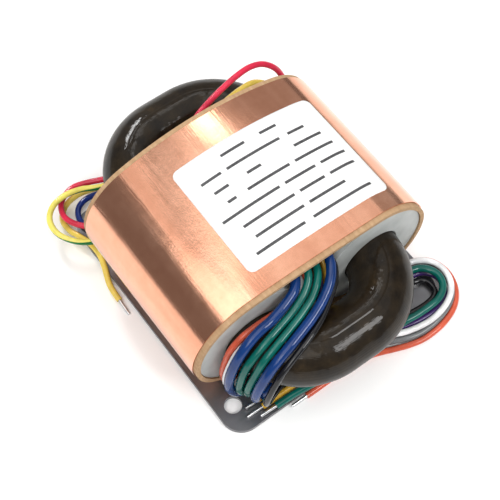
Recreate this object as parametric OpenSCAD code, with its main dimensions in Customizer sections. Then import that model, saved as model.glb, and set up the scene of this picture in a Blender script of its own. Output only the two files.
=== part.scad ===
// R-core transformer: a round-section wound ring core with a coil on each long leg,
// a paper sleeve and copper flux band round both coils, and a steel base plate.
// Millimetres, +Z up, +Y along the core. The origin is under the middle of the plate.

/* [Core] */
// Diameter of the round core section
core_d = 17.5; // [16:0.5:19]
// Overall length of the core ring
core_l = 100.5; // [98:0.5:108]
// Bend radius of the core's centreline at its four corners
core_bend_r = 16; // [13:0.5:18]

/* [Bobbins] */
// Clearance between the core and the bobbin bore
bobbin_clearance = 0.3; // [0.2:0.05:0.6]
// Wall of the bobbin barrel
barrel_wall = 1.25; // [0.8:0.05:2]
// Length of a bobbin over its flanges
bobbin_l = 53; // [48:0.5:53.5]
// Thickness of a flange
flange_t = 1.6; // [1:0.1:2.5]
// Height of the flange rim above the wound coil
flange_rim = 0.65; // [0.3:0.05:1.5]
// Width of the lap joint between the bobbin halves
lap_w = 0.5; // [0.3:0.05:0.7]
// Distance between the two coils at their flanges
coil_gap = 5.6; // [4.6:0.1:7]

/* [Windings] */
// Radial build of the primary
primary_t = 2.6; // [1.5:0.1:3.2]
// Tape between primary and screen
layer_tape_t = 0.3; // [0.1:0.05:0.6]
// Copper foil of the screen
screen_t = 0.2; // [0.1:0.05:0.4]
// Width of the slit that keeps the screen an open turn
screen_slit = 3; // [1:0.5:6]
// Radial build of the secondary
secondary_t = 2.5; // [1.5:0.1:3.2]
// Tape over the finished coil
outer_tape_t = 0.4; // [0.2:0.05:0.8]
// Space between one layer and the next
layer_gap = 0.05; // [0.02:0.01:0.1]

/* [Sleeve and band] */
// Length of the paper sleeve
sleeve_l = 54; // [51:0.5:58]
// Wall of the paper sleeve
sleeve_wall = 1.25; // [0.8:0.05:2]
// Clearance between the flange rims and the sleeve
sleeve_clearance = 0.15; // [0.05:0.05:0.4]
// Length of the copper band
band_l = 51; // [46:0.5:52]
// Glue between the sleeve and the copper band
glue_t = 0.1; // [0.1:0.01:0.3]
// Thickness of the copper band
band_t = 0.3; // [0.2:0.05:0.6]
// Bulge of the sleeve's top at its front end
front_crown = 0.4; // [0.2:0.1:2]
// Bulge of the sleeve's top at its rear end
rear_crown = 3.2; // [1:0.1:4]

/* [Label] */
// Width of the label, across the coils
label_w = 46; // [30:1:50]
// Length of the label, along the coils
label_l = 36; // [20:1:40]
// Corner radius of the label
label_r = 2; // [1:0.5:4]
// Thickness of the label
label_t = 0.15; // [0.1:0.05:0.3]
// Place of the label's middle across the coils
label_x = 7; // [0:0.5:8]
// Place of the label's middle along the coils
label_y = -2; // [-4:0.5:4]

/* [Base plate] */
// Width of the plate
plate_w = 74; // [72:1:80]
// Length of the plate
plate_l = 84; // [82:1:90]
// Thickness of the plate
plate_t = 1.5; // [1:0.1:2]
// Corner radius of the plate
plate_r = 6; // [2:0.5:8]
// Diameter of the four fixing holes
hole_d = 5; // [3:0.1:6]
// Distance from a hole's centre to the plate's long side
hole_side = 5; // [4.5:0.5:7]
// Distance from a hole's centre to the plate's short end
hole_end = 8.5; // [5:0.5:10]

/* [Leads] */
// Diameter of the two heavy leads over their insulation
heavy_d = 2.8; // [2.2:0.1:2.8]
// Diameter of the two medium leads
medium_d = 2.2; // [1.8:0.1:2.2]
// Diameter of the fine leads
fine_d = 1.8; // [1.2:0.1:1.8]
// Diameter of the tinned conductor
bare_d = 0.9; // [0.6:0.05:1.1]
// Length of the tinned end
bare_l = 5; // [3:0.5:6]
// Length of the packing that holds the lead splices
splice_l = 12; // [8:1:16]
// Height of the packing below the sleeve
splice_h = 11; // [8:0.5:12]

/* [Hidden] */
$fn = 96;

// Radii from the core outwards
core_r = core_d / 2;
bore_r = core_r + bobbin_clearance;
barrel_r = bore_r + barrel_wall;
primary_r = barrel_r + layer_gap + primary_t;
layer_tape_r = primary_r + layer_gap + layer_tape_t;
screen_r = layer_tape_r + layer_gap + screen_t;
secondary_r = screen_r + layer_gap + secondary_t;
coil_r = secondary_r + layer_gap + outer_tape_t;
flange_r = coil_r + flange_rim;
sleeve_in_r = flange_r + sleeve_clearance;
sleeve_r = sleeve_in_r + sleeve_wall;
band_in_r = sleeve_r + glue_t;
band_r = band_in_r + band_t;

// Places of the two coil axes, and the core's centreline
leg_x = flange_r + coil_gap / 2;
axis_z = plate_t + band_r;
core_y = core_l / 2 - core_r;
winding_l = bobbin_l - 2 * flange_t - 2 * layer_gap;
bend_x = leg_x - core_bend_r;
bend_y = core_y - core_bend_r;

// Facets of the lofted sleeve: arcs at the ends, over the top, and along it
end_steps = 20;
top_steps = 14;
length_steps = 3;
band_stations = [for (i = [0 : length_steps]) band_l * (i / length_steps - 0.5)];
sleeve_stations = concat([-sleeve_l / 2], band_stations, [sleeve_l / 2]);

// Where the leads leave their splices, and the sides and smoothing of their tubes
lead_start_y = 20;
lead_sides = 8;
route_steps = 2;

// Front leads: out of the valley between the coils, over or inside the left arm of the core,
// under the core to the right, and back in a loop
blue_left_route = [
    [-5, -20, 35.6], [-5.2, -22.6, 35.6], [-6.2, -25.8, 35.4], [-8.6, -28.4, 35], [-13, -29.9, 34],
    [-17.4, -30.8, 33], [-21.6, -31.2, 32.5], [-25.9, -31.8, 30.6], [-29.6, -32.3, 26.3], [-31.7, -32.4, 20.4],
    [-32.3, -32.5, 14], [-31, -32.7, 8.6], [-27.6, -33, 5], [-22, -33.3, 3.3], [-12, -33.4, 3],
    [0, -33.4, 3], [9, -33.4, 3], [17, -33.4, 3]
];
blue_right_route = [
    [5, -20, 35.8], [5, -23.4, 35.8], [4.2, -27.4, 35.2], [1.4, -31, 34], [-3, -33.8, 32.8],
    [-8, -35.9, 32], [-13, -37.4, 31.4], [-18, -38.7, 30.6], [-22.6, -39.4, 28.2], [-26.2, -39.8, 24],
    [-28.2, -39.7, 18.8], [-28.6, -39.3, 14], [-26.6, -38.4, 10.6], [-22, -37.4, 9.2], [-15, -36.7, 8.7],
    [-6, -36.4, 8.5], [3, -36.4, 8.5]
];
green_upper_route = [
    [-1.5, -20, 36], [-1.6, -23.4, 36], [-2.8, -27, 35.3], [-6, -29.8, 33.9], [-11, -31.6, 32.4],
    [-16, -32.8, 31.4], [-21, -33.9, 30.6], [-25.4, -34.5, 28], [-28.6, -34.7, 24], [-30.2, -34.7, 18],
    [-30.4, -34.6, 12.6], [-28.5, -34.5, 8.6], [-24, -34, 6.4], [-16, -33.9, 5.8], [-4, -33.9, 5.7],
    [8, -33.9, 5.7], [20, -33.4, 5.7], [28, -32.4, 5.7], [33.2, -32.4, 5.5], [36.4, -34.6, 5.3],
    [37.6, -38, 5.2], [36.2, -41.4, 5], [32.5, -43.4, 4.9], [26, -43.7, 5], [20, -43.3, 5.4],
    [14, -43.3, 6.2], [8, -43.6, 6.6], [-2, -43.4, 6.6], [-10, -43, 6.2], [-17, -41.8, 4.8], [-23, -41.2, 3.4]
];
green_lower_route = [
    [1.5, -20, 34.2], [1.4, -23.6, 34.2], [-0.2, -27.8, 33.9], [-4, -31.1, 32.8], [-9, -33.3, 32],
    [-14.5, -34.9, 31.2], [-19.6, -36.2, 30.4], [-24, -36.9, 28], [-27.2, -37.2, 23], [-29, -37, 17.6],
    [-29.2, -36.6, 12.8], [-27, -35.9, 9.6], [-22, -34.8, 8.5], [-15, -33.6, 8.2], [-4, -33.2, 8.1],
    [3, -33.2, 8.1], [7.4, -33.2, 8.1], [11.4, -34.4, 8], [12.6, -37.4, 7.8], [11.4, -40.4, 7.6], [7.4, -41.4, 7.5],
    [2, -40.8, 6.6], [-4, -39.7, 5.7], [-10, -38.6, 4.8], [-18, -37.4, 3.6], [-25, -36.9, 3]
];
black_route = [
    [6, -20, 33], [6, -24, 33], [5.4, -27.8, 32.6], [2.9, -31.2, 31.8], [-1.4, -34.4, 30.9],
    [-6.4, -37.4, 30.6], [-11.5, -39.5, 30.6], [-17, -41, 29.4], [-21.6, -41.8, 26.6], [-24.6, -42.2, 22.6],
    [-26.6, -42.3, 17.6], [-27, -41.8, 12.6], [-25.2, -40.6, 8.6], [-21, -38.8, 6.6], [-14, -36.9, 6],
    [-4, -36.4, 5.9], [8, -36.3, 5.7], [20, -35.9, 5], [27, -34.9, 3.6], [31, -34.6, 2.9],
    [34, -35.7, 2.8], [34.9, -38.3, 2.8], [34, -40.9, 2.8], [31, -41.9, 2.8], [26, -41.8, 2.8],
    [16, -40.3, 2.7], [6, -38.5, 2.7]
];
white_route = [
    [-4, -20, 33], [-4.1, -23, 33], [-4.6, -26.2, 32.6], [-6.6, -28.8, 31.6], [-10.6, -30.2, 30.6],
    [-15, -30.5, 30.2], [-20.2, -30.6, 30.2], [-24.4, -30.5, 28.9], [-28.3, -30.3, 25.2], [-30.6, -30.3, 20],
    [-31.8, -30.1, 14.4], [-31.4, -30.2, 9.6], [-28.4, -30.2, 6.4], [-23, -29.4, 5.3], [-12, -28.9, 5],
    [0, -28.9, 5], [12, -28.9, 5], [24, -29, 5.1], [31, -29.3, 5.2], [36.2, -30.8, 5],
    [39.4, -34, 4.8], [40.2, -38.4, 4.6], [38.4, -42.6, 4.4], [34, -45.6, 4.2], [27.6, -46.8, 3.7],
    [20.4, -45.7, 3.6], [14, -43.5, 4.1], [8, -43.3, 4.4], [2, -43, 4.3], [-6, -42.5, 4.3]
];
orange_route = [
    [-2.1, -20, 31.6], [-2.3, -23, 31.4], [-2.8, -25.8, 31], [-4.6, -27.8, 30.2], [-8, -28.5, 29.4],
    [-14, -28.6, 29.8], [-20, -28.7, 30.2], [-24.9, -28.6, 29.1], [-28.7, -28.5, 25.4], [-30.4, -28.3, 20.2],
    [-31.4, -28.2, 14.6], [-31, -28.2, 8.6], [-29, -28.3, 4.6], [-24, -28.6, 2.9], [-12, -28.8, 2.5],
    [0, -28.8, 2.5], [12, -28.8, 2.5], [24, -28.7, 2.5], [32, -28.6, 2.6], [36.8, -29.8, 2.6],
    [40.4, -32.6, 2.1], [42, -37.4, 1.3], [40.6, -42.6, 1], [36.6, -46.7, 1], [30.6, -48.9, 1],
    [24, -49.4, 1], [19, -48.5, 1], [14, -46.7, 1], [8.6, -44.6, 1], [3, -43.4, 1], [-3, -43.2, 1], [-9, -43.2, 1],
    [-14, -43.2, 1]
];
violet_route = [
    [2, -20, 31.5], [2, -23.6, 31.4], [1, -27, 30], [-0.4, -29.8, 26.4], [-0.9, -30.6, 21],
    [-0.9, -30.7, 15], [0, -30.8, 9.6], [3.6, -31, 6], [9, -31.2, 5], [16, -31.3, 4.8],
    [24, -32.2, 3.6], [30.4, -32.5, 3], [34.8, -33.4, 2.9], [37.4, -36, 2.9], [37.9, -39.4, 2.8],
    [36, -42.8, 2.7], [31.8, -44.9, 2.7], [25, -44.7, 2.7], [18, -43.1, 2.6], [13, -42, 2.5], [8, -40.8, 2.5],
    [0, -39.8, 2.5], [-6, -39.5, 2.5]
];
grey_route = [
    [-0.2, -20, 31.2], [-0.2, -23.6, 31], [-1.6, -27, 29.4], [-3.1, -29.8, 25.4], [-3.4, -30.6, 20],
    [-3.4, -30.7, 14], [-2.9, -30.8, 8.4], [-0.2, -30.8, 4.2], [4.4, -30.8, 2.6], [12, -30.8, 2.5],
    [20, -30.6, 2.5], [28, -30.5, 2.7], [33.4, -30.8, 2.8], [37.4, -32.5, 2.8], [39.8, -36.2, 2.7],
    [39.8, -40.8, 2.5], [37, -44.6, 2.3], [32, -46.9, 2.2], [25.6, -47.8, 1.9], [20, -47, 2],
    [14, -44.6, 2.3], [8.6, -42.8, 2.5], [3, -42.2, 2.6], [-2, -41.9, 2.5]
];
yellow_route = [
    [4, -20, 33.2], [3.9, -23.4, 33], [3.5, -26.2, 31.6], [2.7, -28, 27.8], [2.3, -28.3, 22],
    [2.3, -28.4, 16], [2.5, -28.5, 12.4], [4, -28.8, 9.8], [7.2, -29.3, 8.4], [11.5, -30, 8], [16.4, -32.1, 7.9],
    [18.5, -37, 8.1], [16.4, -41.9, 8.4], [11.5, -44, 8.7], [4, -43.9, 8.8], [-4, -42.4, 8.5],
    [-12, -40.4, 6.6], [-19, -39.4, 4], [-26, -39, 2.7]
];

// Rear leads: the same way round, over the right arm of the core and under it to the left
red_route = [
    [-3, 20, 35.5], [-3, 24, 35.5], [-1.5, 27.8, 35.3], [3, 30.6, 35.1], [8.5, 32.5, 35.2],
    [14, 33.8, 35.5], [19.4, 34.8, 35.7], [24.6, 35.3, 35.3], [29, 34.9, 33.6], [32.6, 33.4, 30],
    [34.4, 31.6, 24.6], [34.8, 30.6, 18], [34.6, 30.4, 12.4], [32.8, 31, 8.2], [29.2, 30.9, 6.2],
    [24, 30.3, 5.4], [16, 29.3, 5.2], [4, 29.2, 5.2], [-8, 29.2, 5.2], [-20, 29.8, 5.2],
    [-28, 31.6, 5.2], [-33.2, 34.4, 5], [-36.6, 38.2, 4.6], [-38, 42.6, 4.4], [-36, 47.2, 4.3],
    [-31, 49.4, 4.3], [-26, 48.2, 4.4], [-20, 45.6, 4.8], [-10, 43.4, 4.8], [0, 42.6, 4.8]
];
yellow_green_route = [
    [-0.5, 20, 33], [-0.5, 24, 32.8], [1.5, 27.2, 32.2], [6, 28.6, 31.5], [11, 28.8, 30.6],
    [16, 28.6, 30.5], [20.5, 28.6, 30.5], [25, 28.8, 29], [28.6, 29, 25.2], [31, 29, 20],
    [32, 28.8, 14], [31.4, 28.6, 8.6], [28.6, 28.7, 4.6], [23, 28.9, 2.9], [12, 29, 2.6],
    [0, 29, 2.6], [-12, 29, 2.6], [-24, 29, 3], [-32, 29.2, 4.4], [-36.4, 30.2, 5.2],
    [-40.4, 33, 6], [-43, 37.6, 6.6], [-42.6, 42.4, 7], [-39.4, 45.8, 7.1], [-34.6, 46.9, 7.1],
    [-29.6, 46, 6.9], [-25, 43.8, 6.6], [-18, 41.6, 6.2], [-8, 40.4, 6.2], [2, 40, 6.2]
];
primary_yellow_route = [
    [2.4, 20, 35.6], [2.4, 24, 35.6], [4, 27.6, 34.6], [8.4, 30, 33], [13.4, 31.8, 31.8],
    [19, 33, 31], [24, 33.4, 30.2], [28, 32.7, 27.4], [30.6, 31.9, 23], [31.8, 31.5, 17.6],
    [31.6, 31.9, 12], [29.4, 32.9, 7.4], [24.4, 34.8, 4.4], [16, 37.2, 2.8], [6, 39.2, 2.6],
    [-6, 41.2, 2.6], [-16, 43.6, 2.6], [-24, 46, 2.5], [-30, 47.6, 2.3], [-35, 46.8, 2],
    [-38.4, 43.4, 1.9], [-38.8, 39, 2.2], [-37.6, 35, 2.7], [-36.4, 31, 2.8], [-36.2, 26.6, 2.8],
    [-37.2, 22.4, 2.7], [-39, 17, 1.8], [-39.3, 11.6, 1]
];
primary_blue_route = [
    [-4.6, 20, 32.6], [-4.6, 24, 32.4], [-4, 27.2, 30.8], [-3.2, 29.6, 27], [-3, 30.4, 21],
    [-3, 30.7, 15], [-3.6, 31.2, 9.4], [-6.6, 31.9, 5.2], [-12, 32.4, 3], [-20, 32.7, 2.6],
    [-28.6, 33, 2.7], [-32.8, 34.8, 2.8], [-34.6, 39, 2.8], [-33, 43, 2.8], [-29, 44.6, 2.8],
    [-23, 43.4, 2.7], [-15, 41.2, 2.6], [-8, 39.2, 2.6]
];
brown_route = [
    [-2, 20, 31.4], [-2, 24, 31.2], [-1.2, 27.4, 29.8], [-0.2, 29.6, 26], [0, 30.4, 20.4],
    [0, 30.8, 14.6], [-0.8, 31.8, 9], [-4, 33.5, 4.6], [-10, 34.5, 2.8], [-18, 34.6, 2.6],
    [-25.6, 35, 2.6], [-29.2, 36, 2.6], [-30.2, 38.5, 2.6], [-29.2, 41, 2.6], [-25.8, 41.8, 2.6],
    [-21, 40.8, 2.6], [-15, 38.8, 2.6], [-7, 37, 2.6]
];

ROUTES = [
    blue_left_route, blue_right_route, green_upper_route, green_lower_route, black_route, white_route,
    orange_route, violet_route, grey_route, yellow_route, red_route, yellow_green_route,
    primary_yellow_route, primary_blue_route, brown_route
];

// Curve helpers: a smooth curve through the points of a route, and a frame carried along it
function unit(v) = v / norm(v);
function curve_point(a, b, c, d, t) =
    (2 * b + (c - a) * t + (2 * a - 5 * b + 4 * c - d) * t * t + (3 * b - a - 3 * c + d) * t * t * t) / 2;
function smooth_route(p) = [
    for (i = [0 : len(p) - 2])
        for (k = [0 : route_steps - 1])
            curve_point(p[max(i - 1, 0)], p[i], p[i + 1], p[min(i + 2, len(p) - 1)], k / route_steps),
    p[len(p) - 1]
];
function tangents(q) = [
    for (i = [0 : len(q) - 1]) unit(q[min(i + 1, len(q) - 1)] - q[max(i - 1, 0)])
];
function carried(n, t) = unit(n - (n * t) * t);
function normals(t, n, i = 0) =
    i == len(t) ? [] : let (m = carried(n, t[i])) concat([m], normals(t, m, i + 1));
function lead_rings(q, d) =
    let (t = tangents(q), n = normals(t, [0, 0, 1])) [
        for (i = [0 : len(q) - 1])
            let (b = cross(t[i], n[i])) [
                for (j = [0 : lead_sides - 1])
                    let (a = 360 * j / lead_sides) q[i] + d / 2 * (cos(a) * n[i] + sin(a) * b)
            ]
    ];

// Outline of the sleeve at one end: two half rounds, a flat bottom and a bulged top that is
// tangent to both rounds
function sleeve_outline(r, crown, y) =
    let (
        reach = (crown * crown + leg_x * leg_x) / (2 * crown),
        lean = asin(leg_x / reach),
        turn = (180 - lean) / end_steps
    )
    concat(
        [for (i = [0 : end_steps]) let (a = 270 - turn * i) [-leg_x + r * cos(a), y, axis_z + r * sin(a)]],
        [for (i = [1 : top_steps - 1]) let (a = lean * (2 * i / top_steps - 1))
            [(reach + r) * sin(a), y, axis_z - reach + crown + (reach + r) * cos(a)]],
        [for (i = [end_steps : -1 : 0]) let (a = turn * i - 90) [leg_x + r * cos(a), y, axis_z + r * sin(a)]]
    );
// Bulge of the top at a place along the sleeve
function crown_at(y) = front_crown + (rear_crown - front_crown) * (y / sleeve_l + 0.5);
function sleeve_rings(r, stations) = [for (y = stations) sleeve_outline(r, crown_at(y), y)];

// Skin over a row of rings, capped at both ends or closed into a loop
module skin(rings, closed = false) {
    n = len(rings[0]);
    m = len(rings);
    sides = [
        for (i = [0 : closed ? m - 1 : m - 2])
            for (j = [0 : n - 1])
                let (k = (j + 1) % n, next = ((i + 1) % m) * n)
                    each [[i * n + j, next + j, next + k], [i * n + j, next + k, i * n + k]]
    ];
    caps = closed ? [] : [[for (j = [0 : n - 1]) j], [for (j = [n - 1 : -1 : 0]) (m - 1) * n + j]];
    polyhedron(points = [for (ring = rings) each ring], faces = concat(sides, caps), convexity = 8);
}

// Wall between two radii that follows the sleeve's outline from station to station
module sleeve_wall_between(inner_r, outer_r, stations) {
    outer = sleeve_rings(outer_r, stations);
    inner = sleeve_rings(inner_r, stations);
    skin(concat(outer, [for (i = [len(inner) - 1 : -1 : 0]) inner[i]]), closed = true);
}

// Solid block inside the sleeve's outline at a radius, as long as the band
module sleeve_block(r) {
    skin(sleeve_rings(r, band_stations));
}

// Places a shape made along Z on a coil's axis, with its middle at the middle of the coil
module on_leg(side, length) {
    translate([side * leg_x, length / 2, axis_z])
        rotate([90, 0, 0])
            children();
}

module ring_layer(inner_r, outer_r, length) {
    difference() {
        cylinder(h = length, r = outer_r);
        translate([0, 0, -1]) cylinder(h = length + 2, r = inner_r);
    }
}

// Core: a straight bar on each side and a quarter bend at each corner, one wound ring
module core() {
    color("#1d1a17")
    translate([0, 0, axis_z]) {
        for (side = [-1, 1]) {
            translate([side * leg_x, bend_y, 0]) rotate([90, 0, 0]) cylinder(h = 2 * bend_y, r = core_r);
            translate([-bend_x, side * core_y, 0]) rotate([0, 90, 0]) cylinder(h = 2 * bend_x, r = core_r);
        }
        for (corner = [0 : 3]) {
            x = corner == 0 || corner == 3 ? bend_x : -bend_x;
            y = corner < 2 ? bend_y : -bend_y;
            translate([x, y, 0])
                rotate([0, 0, 90 * corner])
                    rotate_extrude(angle = 90)
                        translate([core_bend_r, 0]) circle(r = core_r);
        }
    }
}

// Whole bobbin along Z: barrel and two flanges
module bobbin_body() {
    difference() {
        union() {
            cylinder(h = bobbin_l, r = barrel_r);
            cylinder(h = flange_t, r = flange_r);
            translate([0, 0, bobbin_l - flange_t]) cylinder(h = flange_t, r = flange_r);
        }
        translate([0, 0, -1]) cylinder(h = bobbin_l + 2, r = bore_r);
    }
}

// Half of a bobbin, above or below the coil's axis, with a lap along each barrel edge
module bobbin_half(side, upper) {
    lap_x = bore_r + barrel_wall / 2;
    color(upper ? "#d9dcd8" : "#ccd0cc")
    on_leg(side, bobbin_l)
        intersection() {
            bobbin_body();
            translate([0, 0, -1])
                linear_extrude(bobbin_l + 2)
                    difference() {
                        union() {
                            translate([-2 * flange_r, upper ? 0 : -2 * flange_r]) square(flange_r * [4, 2]);
                            if (upper)
                                for (s = [-1, 1])
                                    translate([s * lap_x - barrel_wall / 4, -lap_w])
                                        square([barrel_wall / 2, 2 * lap_w]);
                        }
                        if (!upper)
                            for (s = [-1, 1])
                                translate([s * lap_x - barrel_wall / 4, -lap_w])
                                    square([barrel_wall / 2, 2 * lap_w]);
                    }
        }
}

module bobbin_left_upper() { bobbin_half(-1, true); }
module bobbin_left_lower() { bobbin_half(-1, false); }
module bobbin_right_upper() { bobbin_half(1, true); }
module bobbin_right_lower() { bobbin_half(1, false); }

module primary_winding(side) {
    color("#8c4a24") on_leg(side, winding_l) ring_layer(barrel_r + layer_gap, primary_r, winding_l);
}
module layer_tape(side) {
    color("#e3c85a") on_leg(side, winding_l) ring_layer(primary_r + layer_gap, layer_tape_r, winding_l);
}
// The foil stops short of a full turn
module screen_foil(side) {
    color("#c87d4f")
    on_leg(side, winding_l)
        difference() {
            ring_layer(layer_tape_r + layer_gap, screen_r, winding_l);
            translate([-screen_slit / 2, -2 * screen_r, -1]) cube([screen_slit, 2 * screen_r, winding_l + 2]);
        }
}
module secondary_winding(side) {
    color("#94512a") on_leg(side, winding_l) ring_layer(screen_r + layer_gap, secondary_r, winding_l);
}
module outer_tape(side) {
    color("#d8b95a") on_leg(side, winding_l) ring_layer(secondary_r + layer_gap, coil_r, winding_l);
}

module primary_winding_left() { primary_winding(-1); }
module primary_winding_right() { primary_winding(1); }
module layer_tape_left() { layer_tape(-1); }
module layer_tape_right() { layer_tape(1); }
module screen_foil_left() { screen_foil(-1); }
module screen_foil_right() { screen_foil(1); }
module secondary_winding_left() { secondary_winding(-1); }
module secondary_winding_right() { secondary_winding(1); }
module outer_tape_left() { outer_tape(-1); }
module outer_tape_right() { outer_tape(1); }

module paper_sleeve() {
    color("#b08d5c") sleeve_wall_between(sleeve_in_r, sleeve_r, sleeve_stations);
}

module copper_band() {
    color("#d99a78") sleeve_wall_between(band_in_r, band_r, band_stations);
}

module rounded_rectangle(size, r) {
    square([size.x - 2 * r, size.y], center = true);
    square([size.x, size.y - 2 * r], center = true);
    for (sx = [-1, 1])
        for (sy = [-1, 1])
            translate([sx * (size.x / 2 - r), sy * (size.y / 2 - r)]) circle(r = r);
}

// Paper label that follows the band's top and starts to bend down at its right side
module label() {
    color("#f4f4f1")
    difference() {
        intersection() {
            sleeve_block(band_r + label_t);
            translate([label_x, label_y, axis_z])
                linear_extrude(2 * band_r)
                    rounded_rectangle([label_w, label_l], label_r);
        }
        sleeve_block(band_r);
    }
}

module base_plate() {
    color("#9aa0a2")
    difference() {
        linear_extrude(plate_t) rounded_rectangle([plate_w, plate_l], plate_r);
        for (sx = [-1, 1])
            for (sy = [-1, 1])
                translate([sx * (plate_w / 2 - hole_side), sy * (plate_l / 2 - hole_end), -1])
                    cylinder(h = plate_t + 2, d = hole_d);
    }
}

// Insulating packing in the valley between the coils; the leads start at its outer face
module splice_packing(end) {
    top_z = axis_z + sleeve_in_r - layer_gap;
    color("#c9b48a")
    translate([0, end > 0 ? lead_start_y : splice_l - lead_start_y, 0])
        rotate([90, 0, 0])
            linear_extrude(splice_l)
                difference() {
                    translate([-leg_x, top_z - splice_h]) square([2 * leg_x, splice_h]);
                    for (side = [-1, 1])
                        translate([side * leg_x, axis_z]) circle(r = coil_r + layer_gap);
                }
}
module splice_packing_front() { splice_packing(-1); }
module splice_packing_rear() { splice_packing(1); }

module lead(route, d) { skin(lead_rings(smooth_route(route), d)); }

module lead_blue_left() { color("#12378f") lead(blue_left_route, heavy_d); }
module lead_blue_right() { color("#12378f") lead(blue_right_route, heavy_d); }
module lead_green_upper() { color("#0b7a66") lead(green_upper_route, medium_d); }
module lead_green_lower() { color("#0b7a66") lead(green_lower_route, medium_d); }
module lead_black() { color("#17181c") lead(black_route, fine_d); }
module lead_white() { color("#e9e9ea") lead(white_route, fine_d); }
module lead_orange() { color("#d9573a") lead(orange_route, fine_d); }
module lead_violet() { color("#4a2a72") lead(violet_route, fine_d); }
module lead_grey() { color("#6e7478") lead(grey_route, fine_d); }
module lead_yellow() { color("#e0b23a") lead(yellow_route, fine_d); }
module lead_red() { color("#c3213b") lead(red_route, fine_d); }
module lead_yellow_green() { color("#e2d54a") lead(yellow_green_route, fine_d); }
module lead_primary_yellow() { color("#e6b93c") lead(primary_yellow_route, fine_d); }
module lead_primary_blue() { color("#16215f") lead(primary_blue_route, fine_d); }
module lead_brown() { color("#4a2419") lead(brown_route, fine_d); }

// Bare tinned conductor that stands out of the end of each lead
module tinned_ends() {
    color("#c9ccd0")
    for (route = ROUTES) {
        q = smooth_route(route);
        v = unit(q[len(q) - 1] - q[len(q) - 2]);
        translate(q[len(q) - 1])
            rotate([0, acos(v.z), atan2(v.y, v.x)])
                cylinder(h = bare_l, d = bare_d, $fn = 24);
    }
}

core();
bobbin_left_upper();
bobbin_left_lower();
bobbin_right_upper();
bobbin_right_lower();
primary_winding_left();
primary_winding_right();
layer_tape_left();
layer_tape_right();
screen_foil_left();
screen_foil_right();
secondary_winding_left();
secondary_winding_right();
outer_tape_left();
outer_tape_right();
paper_sleeve();
copper_band();
label();
base_plate();
splice_packing_front();
splice_packing_rear();
lead_blue_left();
lead_blue_right();
lead_green_upper();
lead_green_lower();
lead_black();
lead_white();
lead_orange();
lead_violet();
lead_grey();
lead_yellow();
lead_red();
lead_yellow_green();
lead_primary_yellow();
lead_primary_blue();
lead_brown();
tinned_ends();
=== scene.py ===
import math

import bmesh
import bpy
from mathutils import Matrix, Vector


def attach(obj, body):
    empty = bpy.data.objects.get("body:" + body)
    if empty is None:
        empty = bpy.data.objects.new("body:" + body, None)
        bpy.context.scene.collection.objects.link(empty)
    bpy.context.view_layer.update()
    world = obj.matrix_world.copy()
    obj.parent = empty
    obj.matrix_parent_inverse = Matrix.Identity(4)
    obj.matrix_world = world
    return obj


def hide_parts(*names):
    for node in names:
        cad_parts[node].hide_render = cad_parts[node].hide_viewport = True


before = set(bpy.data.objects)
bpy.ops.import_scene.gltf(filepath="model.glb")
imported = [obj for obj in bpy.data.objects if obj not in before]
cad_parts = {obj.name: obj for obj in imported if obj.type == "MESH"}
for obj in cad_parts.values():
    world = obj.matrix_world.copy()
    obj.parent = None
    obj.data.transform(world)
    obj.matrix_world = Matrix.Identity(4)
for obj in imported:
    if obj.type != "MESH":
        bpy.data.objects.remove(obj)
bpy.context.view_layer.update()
print("frame loaded:", len(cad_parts), "nodes")


# camera at the photograph's viewing angle
cameraSettings = {
    "azimuth": -37.0,  # degrees, 0 looks along +Y
    "elevation": 60.7,
    "roll": 0.5,
    "distance": 0.335,
    "target": (0.0, 0.0, 0.0205),
    "lens": 86.8,
    "sensor": 36.0,
    "shift": (-0.0086, -0.0516),
    "clip": (0.01, 20.0),
}


def makeCamera(settings):
    data = bpy.data.cameras.new("camera")
    data.sensor_width = settings["sensor"]
    data.lens = settings["lens"]
    data.shift_x, data.shift_y = settings["shift"]
    data.clip_start, data.clip_end = settings["clip"]
    camera = bpy.data.objects.new("camera", data)
    bpy.context.collection.objects.link(camera)
    azimuth = math.radians(settings["azimuth"])
    elevation = math.radians(settings["elevation"])
    back = Vector((
        math.sin(azimuth) * math.cos(elevation),
        -math.cos(azimuth) * math.cos(elevation),
        math.sin(elevation),
    ))
    turn = (-back).to_track_quat("-Z", "Y").to_matrix().to_4x4()
    roll = Matrix.Rotation(math.radians(settings["roll"]), 4, "Z")
    place = Matrix.Translation(Vector(settings["target"]) + back * settings["distance"])
    camera.matrix_world = place @ turn @ roll
    bpy.context.scene.camera = camera


makeCamera(cameraSettings)
print("camera placed")


# material helpers: a principled shader, and textures on the piece's own coordinates
def startMaterial(name, sockets):
    material = bpy.data.materials.new(name)
    material.use_nodes = True
    tree = material.node_tree
    shader = tree.nodes["Principled BSDF"]
    for socket, value in sockets.items():
        shader.inputs[socket].default_value = value
    return material, tree, shader


def addNode(tree, kind, inputs=None, **settings):
    node = tree.nodes.new(kind)
    for key, value in settings.items():
        setattr(node, key, value)
    for key, value in (inputs or {}).items():
        if isinstance(value, bpy.types.NodeSocket):
            tree.links.new(value, node.inputs[key])
        else:
            node.inputs[key].default_value = value
    return node


def placed(tree, scale=(1, 1, 1), source="Object"):
    coordinates = addNode(tree, "ShaderNodeTexCoord")
    mapping = addNode(tree, "ShaderNodeMapping", {"Vector": coordinates.outputs[source], "Scale": scale})
    return mapping.outputs["Vector"]


def noise(tree, vector, scale, detail=3.0, roughness=0.5):
    node = addNode(tree, "ShaderNodeTexNoise", {
        "Vector": vector, "Scale": scale, "Detail": detail, "Roughness": roughness,
    })
    return node.outputs["Fac"]


def ramp(tree, factor, stops):
    node = addNode(tree, "ShaderNodeValToRGB", {"Fac": factor})
    elements = node.color_ramp.elements
    for end, (position, colour) in zip(elements, (stops[0], stops[-1])):
        end.position = position
        end.color = (*colour, 1)
    for position, colour in stops[1:-1]:
        elements.new(position).color = (*colour, 1)
    return node.outputs["Color"]


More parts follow.
